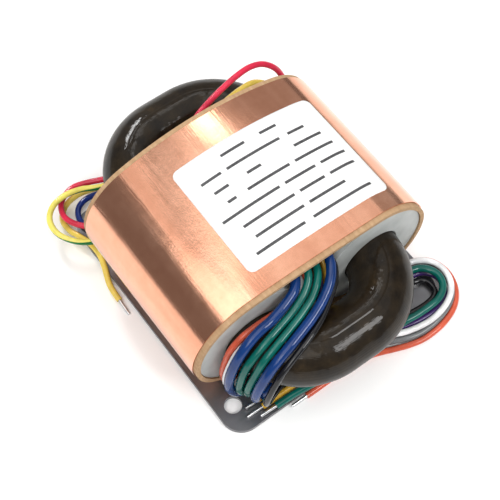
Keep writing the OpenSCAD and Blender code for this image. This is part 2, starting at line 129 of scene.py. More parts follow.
def spread(tree, factor, low, high):
    node = addNode(tree, "ShaderNodeMapRange", {"Value": factor, "To Min": low, "To Max": high})
    return node.outputs["Result"]


def maths(tree, operation, first, second=0.0):
    node = addNode(tree, "ShaderNodeMath", {0: first, 1: second}, operation=operation)
    return node.outputs[0]


def vectorMaths(tree, operation, first, second=(0, 0, 0)):
    node = addNode(tree, "ShaderNodeVectorMath", {0: first, 1: second}, operation=operation)
    return node.outputs["Value" if operation == "LENGTH" else "Vector"]


def mixColours(tree, share, first, second):
    node = addNode(tree, "ShaderNodeMix", {0: share, 6: first, 7: (*second, 1)}, data_type="RGBA")
    return node.outputs[2]  # 6, 7 and 2 are the colour sockets


def bumpOn(tree, shader, height, strength, distance, socket="Normal"):
    node = addNode(tree, "ShaderNodeBump", {"Height": height, "Strength": strength, "Distance": distance})
    tree.links.new(node.outputs["Normal"], shader.inputs[socket])


# leads: one smooth curve each, through the same points as the solids
leadSizes = {"heavy": 0.0028, "medium": 0.0022, "fine": 0.0018}

leads = {
    "leadBlueLeft": {
        "node": "lead_blue_left", "slot": "wire_blue", "size": "heavy", "length": 0.102,
        "colour": (0.004, 0.032, 0.15),
        "route": [
            (-0.005, -0.02, 0.0356), (-0.0052, -0.0226, 0.0356), (-0.0062, -0.0258, 0.0354),
            (-0.0086, -0.0284, 0.035), (-0.013, -0.0299, 0.034), (-0.0174, -0.0308, 0.033),
            (-0.0216, -0.0312, 0.0325), (-0.0259, -0.0318, 0.0306), (-0.0296, -0.0323, 0.0263),
            (-0.0317, -0.0324, 0.0204), (-0.0323, -0.0325, 0.014), (-0.031, -0.0327, 0.0086),
            (-0.0276, -0.033, 0.005), (-0.022, -0.0333, 0.0033), (-0.012, -0.0334, 0.003),
            (0.0, -0.0334, 0.003), (0.009, -0.0334, 0.003), (0.017, -0.0334, 0.003),
        ],
    },
    "leadBlueRight": {
        "node": "lead_blue_right", "slot": "wire_blue", "size": "heavy", "length": 0.089,
        "colour": (0.004, 0.032, 0.15),
        "route": [
            (0.005, -0.02, 0.0358), (0.005, -0.0234, 0.0358), (0.0042, -0.0274, 0.0352),
            (0.0014, -0.031, 0.034), (-0.003, -0.0338, 0.0328), (-0.008, -0.0359, 0.032),
            (-0.013, -0.0374, 0.0314), (-0.018, -0.0387, 0.0306), (-0.0226, -0.0394, 0.0282),
            (-0.0262, -0.0398, 0.024), (-0.0282, -0.0397, 0.0188), (-0.0286, -0.0393, 0.014),
            (-0.0266, -0.0384, 0.0106), (-0.022, -0.0374, 0.0092), (-0.015, -0.0367, 0.0087),
            (-0.006, -0.0364, 0.0085), (0.003, -0.0364, 0.0085),
        ],
    },
    "leadGreenUpper": {
        "node": "lead_green_upper", "slot": "wire_green", "size": "medium", "length": 0.188,
        "colour": (0.002, 0.11, 0.088),
        "route": [
            (-0.0015, -0.02, 0.036), (-0.0016, -0.0234, 0.036), (-0.0028, -0.027, 0.0353),
            (-0.006, -0.0298, 0.0339), (-0.011, -0.0316, 0.0324), (-0.016, -0.0328, 0.0314),
            (-0.021, -0.0339, 0.0306), (-0.0254, -0.0345, 0.028), (-0.0286, -0.0347, 0.024),
            (-0.0302, -0.0347, 0.018), (-0.0304, -0.0346, 0.0126), (-0.0285, -0.0345, 0.0086),
            (-0.024, -0.034, 0.0064), (-0.016, -0.0339, 0.0058), (-0.004, -0.0339, 0.0057),
            (0.008, -0.0339, 0.0057), (0.02, -0.0334, 0.0057), (0.028, -0.0324, 0.0057),
            (0.0332, -0.0324, 0.0055), (0.0364, -0.0346, 0.0053), (0.0376, -0.038, 0.0052),
            (0.0362, -0.0414, 0.005), (0.0325, -0.0434, 0.0049), (0.026, -0.0437, 0.005),
            (0.02, -0.0433, 0.0054), (0.014, -0.0433, 0.0062), (0.008, -0.0436, 0.0066),
            (-0.002, -0.0434, 0.0066), (-0.01, -0.043, 0.0062), (-0.017, -0.0418, 0.0048),
            (-0.023, -0.0412, 0.0034),
        ],
    },
    "leadGreenLower": {
        "node": "lead_green_lower", "slot": "wire_green", "size": "medium", "length": 0.139,
        "colour": (0.002, 0.11, 0.088),
        "route": [
            (0.0015, -0.02, 0.0342), (0.0014, -0.0236, 0.0342), (-0.0002, -0.0278, 0.0339),
            (-0.004, -0.0311, 0.0328), (-0.009, -0.0333, 0.032), (-0.0145, -0.0349, 0.0312),
            (-0.0196, -0.0362, 0.0304), (-0.024, -0.0369, 0.028), (-0.0272, -0.0372, 0.023),
            (-0.029, -0.037, 0.0176), (-0.0292, -0.0366, 0.0128), (-0.027, -0.0359, 0.0096),
            (-0.022, -0.0348, 0.0085), (-0.015, -0.0336, 0.0082), (-0.004, -0.0332, 0.0081),
            (0.003, -0.0332, 0.0081), (0.0074, -0.0332, 0.0081), (0.0114, -0.0344, 0.008),
            (0.0126, -0.0374, 0.0078), (0.0114, -0.0404, 0.0076), (0.0074, -0.0414, 0.0075),
            (0.002, -0.0408, 0.0066), (-0.004, -0.0397, 0.0057), (-0.01, -0.0386, 0.0048),
            (-0.018, -0.0374, 0.0036), (-0.025, -0.0369, 0.003),
        ],
    },
    "leadBlack": {
        "node": "lead_black", "slot": "wire_black", "size": "fine", "length": 0.156,
        "colour": (0.008, 0.008, 0.01),
        "route": [
            (0.006, -0.02, 0.033), (0.006, -0.024, 0.033), (0.0054, -0.0278, 0.0326),
            (0.0029, -0.0312, 0.0318), (-0.0014, -0.0344, 0.0309), (-0.0064, -0.0374, 0.0306),
            (-0.0115, -0.0395, 0.0306), (-0.017, -0.041, 0.0294), (-0.0216, -0.0418, 0.0266),
            (-0.0246, -0.0422, 0.0226), (-0.0266, -0.0423, 0.0176), (-0.027, -0.0418, 0.0126),
            (-0.0252, -0.0406, 0.0086), (-0.021, -0.0388, 0.0066), (-0.014, -0.0369, 0.006),
            (-0.004, -0.0364, 0.0059), (0.008, -0.0363, 0.0057), (0.02, -0.0359, 0.005),
            (0.027, -0.0349, 0.0036), (0.031, -0.0346, 0.0029), (0.034, -0.0357, 0.0028),
            (0.0349, -0.0383, 0.0028), (0.034, -0.0409, 0.0028), (0.031, -0.0419, 0.0028),
            (0.026, -0.0418, 0.0028), (0.016, -0.0403, 0.0027), (0.006, -0.0385, 0.0027),
        ],
    },
    "leadWhite": {
        "node": "lead_white", "slot": "wire_white", "size": "fine", "length": 0.179,
        "colour": (0.8, 0.8, 0.81),
        "route": [
            (-0.004, -0.02, 0.033), (-0.0041, -0.023, 0.033), (-0.0046, -0.0262, 0.0326),
            (-0.0066, -0.0288, 0.0316), (-0.0106, -0.0302, 0.0306), (-0.015, -0.0305, 0.0302),
            (-0.0202, -0.0306, 0.0302), (-0.0244, -0.0305, 0.0289), (-0.0283, -0.0303, 0.0252),
            (-0.0306, -0.0303, 0.02), (-0.0318, -0.0301, 0.0144), (-0.0314, -0.0302, 0.0096),
            (-0.0284, -0.0302, 0.0064), (-0.023, -0.0294, 0.0053), (-0.012, -0.0289, 0.005),
            (0.0, -0.0289, 0.005), (0.012, -0.0289, 0.005), (0.024, -0.029, 0.0051),
            (0.031, -0.0293, 0.0052), (0.0362, -0.0308, 0.005), (0.0394, -0.034, 0.0048),
            (0.0402, -0.0384, 0.0046), (0.0384, -0.0426, 0.0044), (0.034, -0.0456, 0.0042),
            (0.0276, -0.0468, 0.0037), (0.0204, -0.0457, 0.0036), (0.014, -0.0435, 0.0041),
            (0.008, -0.0433, 0.0044), (0.002, -0.043, 0.0043), (-0.006, -0.0425, 0.0043),
        ],
    },
    "leadOrange": {
        "node": "lead_orange", "slot": "wire_orange", "size": "fine", "length": 0.196,
        "colour": (0.6, 0.1, 0.05),
        "route": [
            (-0.0021, -0.02, 0.0316), (-0.0023, -0.023, 0.0314), (-0.0028, -0.0258, 0.031),
            (-0.0046, -0.0278, 0.0302), (-0.008, -0.0285, 0.0294), (-0.014, -0.0286, 0.0298),
            (-0.02, -0.0287, 0.0302), (-0.0249, -0.0286, 0.0291), (-0.0287, -0.0285, 0.0254),
            (-0.0304, -0.0283, 0.0202), (-0.0314, -0.0282, 0.0146), (-0.031, -0.0282, 0.0086),
            (-0.029, -0.0283, 0.0046), (-0.024, -0.0286, 0.0029), (-0.012, -0.0288, 0.0025),
            (0.0, -0.0288, 0.0025), (0.012, -0.0288, 0.0025), (0.024, -0.0287, 0.0025),
            (0.032, -0.0286, 0.0026), (0.0368, -0.0298, 0.0026), (0.0404, -0.0326, 0.0021),
            (0.042, -0.0374, 0.0013), (0.0406, -0.0426, 0.001), (0.0366, -0.0467, 0.001),
            (0.0306, -0.0489, 0.001), (0.024, -0.0494, 0.001), (0.019, -0.0485, 0.001),
            (0.014, -0.0467, 0.001), (0.0086, -0.0446, 0.001), (0.003, -0.0434, 0.001),
            (-0.003, -0.0432, 0.001), (-0.009, -0.0432, 0.001), (-0.014, -0.0432, 0.001),
        ],
    },
    "leadViolet": {
        "node": "lead_violet", "slot": "wire_violet", "size": "fine", "length": 0.120,
        "colour": (0.05, 0.02, 0.13),
        "route": [
            (0.002, -0.02, 0.0315), (0.002, -0.0236, 0.0314), (0.001, -0.027, 0.03),
            (-0.0004, -0.0298, 0.0264), (-0.0009, -0.0306, 0.021), (-0.0009, -0.0307, 0.015),
            (0.0, -0.0308, 0.0096), (0.0036, -0.031, 0.006), (0.009, -0.0312, 0.005),
            (0.016, -0.0313, 0.0048), (0.024, -0.0322, 0.0036), (0.0304, -0.0325, 0.003),
            (0.0348, -0.0334, 0.0029), (0.0374, -0.036, 0.0029), (0.0379, -0.0394, 0.0028),
            (0.036, -0.0428, 0.0027), (0.0318, -0.0449, 0.0027), (0.025, -0.0447, 0.0027),
            (0.018, -0.0431, 0.0026), (0.013, -0.042, 0.0025), (0.008, -0.0408, 0.0025),
            (0.0, -0.0398, 0.0025), (-0.006, -0.0395, 0.0025),
        ],
    },
    "leadGrey": {
        "node": "lead_grey", "slot": "wire_grey", "size": "fine", "length": 0.128,
        "colour": (0.16, 0.165, 0.17),
        "route": [
            (-0.0002, -0.02, 0.0312), (-0.0002, -0.0236, 0.031), (-0.0016, -0.027, 0.0294),
            (-0.0031, -0.0298, 0.0254), (-0.0034, -0.0306, 0.02), (-0.0034, -0.0307, 0.014),
            (-0.0029, -0.0308, 0.0084), (-0.0002, -0.0308, 0.0042), (0.0044, -0.0308, 0.0026),
            (0.012, -0.0308, 0.0025), (0.02, -0.0306, 0.0025), (0.028, -0.0305, 0.0027),
            (0.0334, -0.0308, 0.0028), (0.0374, -0.0325, 0.0028), (0.0398, -0.0362, 0.0027),
            (0.0398, -0.0408, 0.0025), (0.037, -0.0446, 0.0023), (0.032, -0.0469, 0.0022),
            (0.0256, -0.0478, 0.0019), (0.02, -0.047, 0.002), (0.014, -0.0446, 0.0023),
            (0.0086, -0.0428, 0.0025), (0.003, -0.0422, 0.0026), (-0.002, -0.0419, 0.0025),
        ],
    },
    "leadYellow": {
        "node": "lead_yellow", "slot": "wire_yellow", "size": "fine", "length": 0.098,
        "colour": (0.62, 0.36, 0.04),
        "route": [
            (0.004, -0.02, 0.0332), (0.0039, -0.0234, 0.033), (0.0035, -0.0262, 0.0316),
            (0.0027, -0.028, 0.0278), (0.0023, -0.0283, 0.022), (0.0023, -0.0284, 0.016),
            (0.0025, -0.0285, 0.0124), (0.004, -0.0288, 0.0098), (0.0072, -0.0293, 0.0084),
            (0.0115, -0.03, 0.008), (0.0164, -0.0321, 0.0079), (0.0185, -0.037, 0.0081),
            (0.0164, -0.0419, 0.0084), (0.0115, -0.044, 0.0087), (0.004, -0.0439, 0.0088),
            (-0.004, -0.0424, 0.0085), (-0.012, -0.0404, 0.0066), (-0.019, -0.0394, 0.004),
            (-0.026, -0.039, 0.0027),
        ],
    },
    "leadRed": {
        "node": "lead_red", "slot": "wire_red", "size": "fine", "length": 0.189,
        "colour": (0.6, 0.022, 0.06),
        "route": [
            (-0.003, 0.02, 0.0355), (-0.003, 0.024, 0.0355), (-0.0015, 0.0278, 0.0353),
            (0.003, 0.0306, 0.0351), (0.0085, 0.0325, 0.0352), (0.014, 0.0338, 0.0355),
            (0.0194, 0.0348, 0.0357), (0.0246, 0.0353, 0.0353), (0.029, 0.0349, 0.0336),
            (0.0326, 0.0334, 0.03), (0.0344, 0.0316, 0.0246), (0.0348, 0.0306, 0.018),
            (0.0346, 0.0304, 0.0124), (0.0328, 0.031, 0.0082), (0.0292, 0.0309, 0.0062),
            (0.024, 0.0303, 0.0054), (0.016, 0.0293, 0.0052), (0.004, 0.0292, 0.0052),
            (-0.008, 0.0292, 0.0052), (-0.02, 0.0298, 0.0052), (-0.028, 0.0316, 0.0052),
            (-0.0332, 0.0344, 0.005), (-0.0366, 0.0382, 0.0046), (-0.038, 0.0426, 0.0044),
            (-0.036, 0.0472, 0.0043), (-0.031, 0.0494, 0.0043), (-0.026, 0.0482, 0.0044),
            (-0.02, 0.0456, 0.0048), (-0.01, 0.0434, 0.0048), (0.0, 0.0426, 0.0048),
        ],
    },
    "leadYellowGreen": {
        "node": "lead_yellow_green", "slot": "wire_yellow_green", "size": "fine", "length": 0.188,
        "colour": (0.85, 0.74, 0.15), "stripe": (0.01, 0.17, 0.04),
        "route": [
            (-0.0005, 0.02, 0.033), (-0.0005, 0.024, 0.0328), (0.0015, 0.0272, 0.0322),
            (0.006, 0.0286, 0.0315), (0.011, 0.0288, 0.0306), (0.016, 0.0286, 0.0305),
            (0.0205, 0.0286, 0.0305), (0.025, 0.0288, 0.029), (0.0286, 0.029, 0.0252),
            (0.031, 0.029, 0.02), (0.032, 0.0288, 0.014), (0.0314, 0.0286, 0.0086),
            (0.0286, 0.0287, 0.0046), (0.023, 0.0289, 0.0029), (0.012, 0.029, 0.0026),
            (0.0, 0.029, 0.0026), (-0.012, 0.029, 0.0026), (-0.024, 0.029, 0.003),
            (-0.032, 0.0292, 0.0044), (-0.0364, 0.0302, 0.0052), (-0.0404, 0.033, 0.006),
            (-0.043, 0.0376, 0.0066), (-0.0426, 0.0424, 0.007), (-0.0394, 0.0458, 0.0071),
            (-0.0346, 0.0469, 0.0071), (-0.0296, 0.046, 0.0069), (-0.025, 0.0438, 0.0066),
            (-0.018, 0.0416, 0.0062), (-0.008, 0.0404, 0.0062), (0.002, 0.04, 0.0062),
        ],
    },
    "leadPrimaryYellow": {
        "node": "lead_primary_yellow", "slot": "wire_yellow", "size": "fine", "length": 0.162,
        "colour": (0.8, 0.6, 0.11), "tips": True,
        "route": [
            (0.0024, 0.02, 0.0356), (0.0024, 0.024, 0.0356), (0.004, 0.0276, 0.0346),
            (0.0084, 0.03, 0.033), (0.0134, 0.0318, 0.0318), (0.019, 0.033, 0.031),
            (0.024, 0.0334, 0.0302), (0.028, 0.0327, 0.0274), (0.0306, 0.0319, 0.023),
            (0.0318, 0.0315, 0.0176), (0.0316, 0.0319, 0.012), (0.0294, 0.0329, 0.0074),
            (0.0244, 0.0348, 0.0044), (0.016, 0.0372, 0.0028), (0.006, 0.0392, 0.0026),
            (-0.006, 0.0412, 0.0026), (-0.016, 0.0436, 0.0026), (-0.024, 0.046, 0.0025),
            (-0.03, 0.0476, 0.0023), (-0.035, 0.0468, 0.002), (-0.0384, 0.0434, 0.0019),
            (-0.0388, 0.039, 0.0022), (-0.0376, 0.035, 0.0027), (-0.0364, 0.031, 0.0028),
            (-0.0362, 0.0266, 0.0028), (-0.0372, 0.0224, 0.0027), (-0.039, 0.017, 0.0018),
            (-0.0393, 0.0116, 0.001),
        ],
    },
    "leadPrimaryBlue": {
        "node": "lead_primary_blue", "slot": "wire_dark_blue", "size": "fine", "length": 0.098,
        "colour": (0.01, 0.026, 0.16),
        "route": [
            (-0.0046, 0.02, 0.0326), (-0.0046, 0.024, 0.0324), (-0.004, 0.0272, 0.0308),
            (-0.0032, 0.0296, 0.027), (-0.003, 0.0304, 0.021), (-0.003, 0.0307, 0.015),
            (-0.0036, 0.0312, 0.0094), (-0.0066, 0.0319, 0.0052), (-0.012, 0.0324, 0.003),
            (-0.02, 0.0327, 0.0026), (-0.0286, 0.033, 0.0027), (-0.0328, 0.0348, 0.0028),
            (-0.0346, 0.039, 0.0028), (-0.033, 0.043, 0.0028), (-0.029, 0.0446, 0.0028),
            (-0.023, 0.0434, 0.0027), (-0.015, 0.0412, 0.0026), (-0.008, 0.0392, 0.0026),
        ],
    },
    "leadBrown": {
        "node": "lead_brown", "slot": "wire_brown", "size": "fine", "length": 0.090,
        "colour": (0.11, 0.03, 0.014),
        "route": [
            (-0.002, 0.02, 0.0314), (-0.002, 0.024, 0.0312), (-0.0012, 0.0274, 0.0298),
            (-0.0002, 0.0296, 0.026), (0.0, 0.0304, 0.0204), (0.0, 0.0308, 0.0146),
            (-0.0008, 0.0318, 0.009), (-0.004, 0.0335, 0.0046), (-0.01, 0.0345, 0.0028),
            (-0.018, 0.0346, 0.0026), (-0.0256, 0.035, 0.0026), (-0.0292, 0.036, 0.0026),
            (-0.0302, 0.0385, 0.0026), (-0.0292, 0.041, 0.0026), (-0.0258, 0.0418, 0.0026),
            (-0.021, 0.0408, 0.0026), (-0.015, 0.0388, 0.0026), (-0.007, 0.037, 0.0026),
        ],
    },
}

leadSkin = {
    "specular": 0.4,
    "shades": [(0.3, 0.8), (0.7, 1.15)],  # place in the cloud, share of the colour
    "cloudScale": 240.0,
    "wearScale": 900.0,
    "roughness": (0.05, 0.14),
    "grainScale": 1600.0,
    "bump": (0.12, 0.0002),  # strength, distance
    "stripeMiddle": 0.655,  # share of the length where the stripe isn't twisted
    "stripeTurns": 2.4,
    "stripeHalf": 0.14,  # half its width, as a share of the way round
    "ringSteps": 4,
    "runSteps": 8,
}


def addStripe(tree, shade, stripe):
    skin = addNode(tree, "ShaderNodeSeparateXYZ", {"Vector": placed(tree, source="UV")})
    along = maths(tree, "SUBTRACT", skin.outputs["X"], leadSkin["stripeMiddle"])
    twist = maths(tree, "MULTIPLY", along, leadSkin["stripeTurns"])  # winds slowly round
    twist = maths(tree, "ADD", twist, 2.0)  # whole turns that keep the sum above zero
    around = maths(tree, "FRACT", maths(tree, "ADD", skin.outputs["Y"], twist))
    away = maths(tree, "ABSOLUTE", maths(tree, "SUBTRACT", around, 0.5))
    band = maths(tree, "LESS_THAN", away, leadSkin["stripeHalf"])
    return mixColours(tree, band, shade, stripe)


def leadMaterial(name, colour, stripe=None):
    s = leadSkin
    material, tree, shader = startMaterial(name, {"Specular IOR Level": s["specular"]})
    cloud = noise(tree, placed(tree), s["cloudScale"], detail=2.0)
    shades = [(place, [min(1.0, c * share) for c in colour]) for place, share in s["shades"]]
    shade = ramp(tree, cloud, shades)
    if stripe:
        shade = addStripe(tree, shade, stripe)
    wear = noise(tree, placed(tree), s["wearScale"])
    tree.links.new(shade, shader.inputs["Base Color"])
    tree.links.new(spread(tree, wear, *s["roughness"]), shader.inputs["Roughness"])
    bumpOn(tree, shader, noise(tree, placed(tree), s["grainScale"], detail=2.0), *s["bump"])
    return material


def makeLead(name, lead):
    points = [Vector(p) for p in lead["route"]]
    diameter = leadSizes[lead["size"]]
    data = bpy.data.curves.new(name, "CURVE")
    data.dimensions = "3D"
    data.bevel_depth = diameter / 2
    data.bevel_resolution = leadSkin["ringSteps"]
    data.resolution_u = leadSkin["runSteps"]
    data.use_fill_caps = True
    spline = data.splines.new("BEZIER")
    spline.bezier_points.add(len(points) - 1)
    for i, knot in enumerate(spline.bezier_points):
        before = points[max(i - 1, 0)]
        after = points[min(i + 1, len(points) - 1)]
        lean = (after - before) / 6  # handles that pass smoothly through the neighbours
        knot.co = points[i]
        knot.handle_left_type = knot.handle_right_type = "FREE"
        knot.handle_left = points[i] - lean
        knot.handle_right = points[i] + lean
    data.materials.append(leadMaterial(name + "Skin", lead["colour"], lead.get("stripe")))
    piece = bpy.data.objects.new(name, data)
    bpy.context.collection.objects.link(piece)
    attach(piece, "root")
    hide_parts(lead["node"])


for leadName, leadFacts in leads.items():
    makeLead(leadName, leadFacts)
print("leads laid:", len(leads))


# sleeve, band and label share one outline: two half rounds and a bulged top
sleeveShape = {
    "legX": 0.02,  # half the distance between the coils
    "axisZ": 0.0205,
    "length": 0.054,
    "frontCrown": 0.0004,  # bulge of the top at each end
    "rearCrown": 0.0032,
    "endSteps": 36,
    "topSteps": 24,
    "baseSteps": 8,
    "stations": 18,
    "rimAngle": 40.0,  # degrees, sharper edges stay crisp
}


def topArc(y):
    s = sleeveShape
    crown = s["frontCrown"] + (s["rearCrown"] - s["frontCrown"]) * (y / s["length"] + 0.5)
    reach = (crown ** 2 + s["legX"] ** 2) / (2 * crown)  # radius that gives this bulge
    lean = math.asin(s["legX"] / reach)
    return s["axisZ"] - reach + crown, reach, lean


def outlineAt(radius, y):
    s = sleeveShape
    arcZ, reach, lean = topArc(y)
    points = []
    for i in range(s["endSteps"] + 1):
        a = math.radians(270) - (math.pi - lean) * i / s["endSteps"]
        points.append((-s["legX"] + radius * math.cos(a), s["axisZ"] + radius * math.sin(a)))
    for i in range(1, s["topSteps"]):
        a = lean * (2 * i / s["topSteps"] - 1)
        points.append(((reach + radius) * math.sin(a), arcZ + (reach + radius) * math.cos(a)))
    points += [(-x, z) for x, z in reversed(points[:s["endSteps"] + 1])]
    for i in range(1, s["baseSteps"]):  # flat underside
        points.append((s["legX"] * (1 - 2 * i / s["baseSteps"]), s["axisZ"] - radius))
    return [Vector((x, y, z)) for x, z in points]


def topAt(radius, x, y):
    s = sleeveShape
    arcZ, reach, lean = topArc(y)
    if abs(x) > (reach + radius) * math.sin(lean):  # on the round side
        return s["axisZ"] + math.sqrt(max(radius ** 2 - (abs(x) - s["legX"]) ** 2, 0.0))
    return arcZ + math.sqrt((reach + radius) ** 2 - x ** 2)


def finishMesh(bm, name, material, node=None):
    mesh = bpy.data.meshes.new(name)
    for face in bm.faces:
        face.smooth = True
    bm.to_mesh(mesh)
    bm.free()
    mesh.materials.append(material)
    piece = bpy.data.objects.new(name, mesh)
    bpy.context.collection.objects.link(piece)
    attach(piece, "root")
    if node:
        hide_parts(node)
    return piece


def wrappedTube(settings):
    bm = bmesh.new()
    loops = []
    for i in range(sleeveShape["stations"] + 1):
        y = settings["length"] * (i / sleeveShape["stations"] - 0.5)
        verts = [bm.verts.new(p) for p in outlineAt(settings["radius"], y)]
        loops.append([bm.edges.new(pair) for pair in zip(verts, verts[1:] + verts[:1])])
    for first, second in zip(loops, loops[1:]):
        bmesh.ops.bridge_loops(bm, edges=first + second)
    bmesh.ops.recalc_face_normals(bm, faces=bm.faces)
    outward = 0.0
    for face in bm.faces:
        middle = face.calc_center_median()
        outward += face.normal.dot(Vector((middle.x, 0, middle.z - sleeveShape["axisZ"])))
    if outward < 0:
        bmesh.ops.reverse_faces(bm, faces=bm.faces)
    bmesh.ops.solidify(bm, geom=bm.faces[:] + bm.edges[:] + bm.verts[:], thickness=settings["wall"])
    return bm


def sharpenRims(piece):
    bm = bmesh.new()
    bm.from_mesh(piece.data)
    rimAngle = math.radians(sleeveShape["rimAngle"])
    for edge in bm.edges:  # the cut edges stay crisp while the walls stay smooth
        edge.smooth = not (len(edge.link_faces) == 2 and edge.calc_face_angle(0.0) > rimAngle)
    bm.to_mesh(piece.data)
    bm.free()


paperSleeve = {
    "radius": 0.0186,
    "wall": 0.00125,
    "length": sleeveShape["length"],
    "roughness": 0.85,
    "specular": 0.25,
    "fibreScale": 900.0,
    "fibreStretch": (1.0, 0.25, 1.0),
    "fibreTones": [(0.3, (0.38, 0.235, 0.125)), (0.52, (0.47, 0.30, 0.17)), (0.75, (0.60, 0.41, 0.25))],
    "blotchScale": 120.0,
    "blotchTone": (0.36, 0.23, 0.125),
    "blotchShare": 0.45,
    "bump": (0.35, 0.0004),
}


def makePaperMaterial():
    s = paperSleeve
    material, tree, shader = startMaterial("fibrePaper", {
        "Roughness": s["roughness"], "Specular IOR Level": s["specular"],
    })
    fibres = noise(tree, placed(tree, s["fibreStretch"]), s["fibreScale"], detail=4.0, roughness=0.65)
    blotches = noise(tree, placed(tree), s["blotchScale"], detail=2.0)
    tone = ramp(tree, fibres, s["fibreTones"])
    worn = mixColours(tree, spread(tree, blotches, 0.0, s["blotchShare"]), tone, s["blotchTone"])
    tree.links.new(worn, shader.inputs["Base Color"])
    bumpOn(tree, shader, fibres, *s["bump"])
    return material


sharpenRims(finishMesh(
    wrappedTube(paperSleeve), "paperSleeve", makePaperMaterial(), "paper_sleeve",
))
print("paper sleeve wrapped")


copperBand = {
    "radius": 0.019,
    "wall": 0.0003,
    "length": 0.051,
    "colour": (0.94, 0.495, 0.335),
    "rolledScale": 700.0,  # rolling marks along the coils
    "rolledStretch": (1.0, 0.06, 1.0),
    "mottleScale": 260.0,
    "mottleTints": [(0.3, (0.90, 0.86, 0.82)), (0.55, (1.0, 1.0, 1.0)), (0.8, (1.06, 1.1, 1.12))],
    "stainScale": 45.0,
    "stainTint": (0.84, 0.74, 0.66),
    "stainShare": 0.35,
    "polishScale": 130.0,  # broad bands left by polishing
    "polishStretch": (1.0, 0.12, 1.0),
    "polishEdges": (0.38, 0.62),
    "polishTint": (0.70, 0.56, 0.50),
    "polishShare": 0.55,
    "grainScale": 3200.0,
    "grainStretch": (1.0, 0.4, 1.0),
    "roughness": (0.06, 0.2),
    "wearShares": (0.6, 0.4),  # of the rolling marks and the mottle
    "grainHeight": 0.22,  # against the rolling marks
    "stainHeight": 1.6,
    "bump": (0.065, 0.0006),
}


def tinted(colour, tint):
    return tuple(c * t for c, t in zip(colour, tint))


def makeCopperMaterial():
    s = copperBand
    material, tree, shader = startMaterial("polishedCopper", {"Metallic": 1.0})
    rolled = noise(tree, placed(tree, s["rolledStretch"]), s["rolledScale"], detail=5.0, roughness=0.6)
    mottle = noise(tree, placed(tree), s["mottleScale"], detail=5.0, roughness=0.7)
    stain = noise(tree, placed(tree), s["stainScale"])
    polish = noise(tree, placed(tree, s["polishStretch"]), s["polishScale"], detail=2.0, roughness=0.4)
    grain = noise(tree, placed(tree, s["grainStretch"]), s["grainScale"], detail=2.0)
    tone = ramp(tree, mottle, [(place, tinted(s["colour"], tint)) for place, tint in s["mottleTints"]])
    stained = spread(tree, stain, 0.0, s["stainShare"])
    tone = mixColours(tree, stained, tone, tinted(s["colour"], s["stainTint"]))
    low, high = s["polishEdges"]
    bands = ramp(tree, polish, [(low, (0, 0, 0)), (high, (1, 1, 1))])
    banded = spread(tree, bands, 0.0, s["polishShare"])
    tone = mixColours(tree, banded, tone, tinted(s["colour"], s["polishTint"]))
    tree.links.new(tone, shader.inputs["Base Color"])
    rolledShare, mottleShare = s["wearShares"]
    wear = maths(tree, "MULTIPLY", rolled, rolledShare)
    wear = maths(tree, "ADD", wear, maths(tree, "MULTIPLY", mottle, mottleShare))
    tree.links.new(spread(tree, wear, *s["roughness"]), shader.inputs["Roughness"])
    height = maths(tree, "ADD", rolled, maths(tree, "MULTIPLY", grain, s["grainHeight"]))
    height = maths(tree, "ADD", height, maths(tree, "MULTIPLY", stain, s["stainHeight"]))
    bumpOn(tree, shader, height, *s["bump"])
    return material


sharpenRims(finishMesh(
    wrappedTube(copperBand), "copperBand", makeCopperMaterial(), "copper_band",
))
print("copper band wrapped")


# label: a rounded sheet cut out flat, then laid on the band
paperLabel = {
    "middle": (0.007, -0.002),
    "size": (0.046, 0.036),
    "corner": 0.002,
    "cornerCuts": 6,
    "weld": 1e-7,
    "thickness": 0.00012,
    "cuts": (40, 40),
    "grainScale": 1500.0,
    "smudgeScale": 70.0,
    "paperTones": [(0.25, (0.84, 0.84, 0.83)), (0.7, (0.91, 0.91, 0.90))],
    "specular": 0.4,
    "roughness": (0.42, 0.6),
    "bump": (0.06, 0.0002),
    "barCuts": (24, 1),  # fine enough to follow the round side
    "barHeight": 0.024,  # share of the label's height
    "barLift": 0.00002,
    "topGap": 0.9,  # rows above the first bar
    "spareRows": 0.8,
    "inkScale": 2500.0,
    "inkTones": [(0.35, (0.03, 0.03, 0.033)), (0.65, (0.09, 0.09, 0.095))],
    "inkRoughness": 0.55,
}


def layOnBand(bm, lift):
    for vert in bm.verts:
        vert.co.z = topAt(copperBand["radius"] + lift + vert.co.z, vert.co.x, vert.co.y)


def roundCorners(bm, size, corner):
    steps = paperLabel["cornerCuts"]
    for sx, sy in ((-1, -1), (-1, 1), (1, -1), (1, 1)):
        centre = Vector((sx * (size[0] / 2 - corner), sy * (size[1] / 2 - corner), 0))
        for k in range(1, steps):
            a = math.radians(90) * k / steps
            way = Vector((sx * math.cos(a), sy * math.sin(a), 0))
            bmesh.ops.bisect_plane(
                bm, geom=bm.verts[:] + bm.edges[:] + bm.faces[:], dist=paperLabel["weld"],
                plane_co=centre + way * corner, plane_no=way, clear_outer=True,
            )


def cutSheet(middle, size, cuts, corner=0.0):
    bm = bmesh.new()
    bmesh.ops.create_grid(bm, x_segments=cuts[0], y_segments=cuts[1], size=0.5)
    bmesh.ops.scale(bm, vec=(*size, 1), verts=bm.verts)
    if corner:
        roundCorners(bm, size, corner)
    bmesh.ops.translate(bm, vec=(*middle, 0), verts=bm.verts)
    return bm


def makeLabelMaterial():
    s = paperLabel
    material, tree, shader = startMaterial("labelPaper", {"Specular IOR Level": s["specular"]})
    grain = noise(tree, placed(tree), s["grainScale"], detail=4.0)
    smudge = noise(tree, placed(tree), s["smudgeScale"], detail=2.0)
    tree.links.new(ramp(tree, smudge, s["paperTones"]), shader.inputs["Base Color"])
    tree.links.new(spread(tree, grain, *s["roughness"]), shader.inputs["Roughness"])
    bumpOn(tree, shader, grain, *s["bump"])
    return material


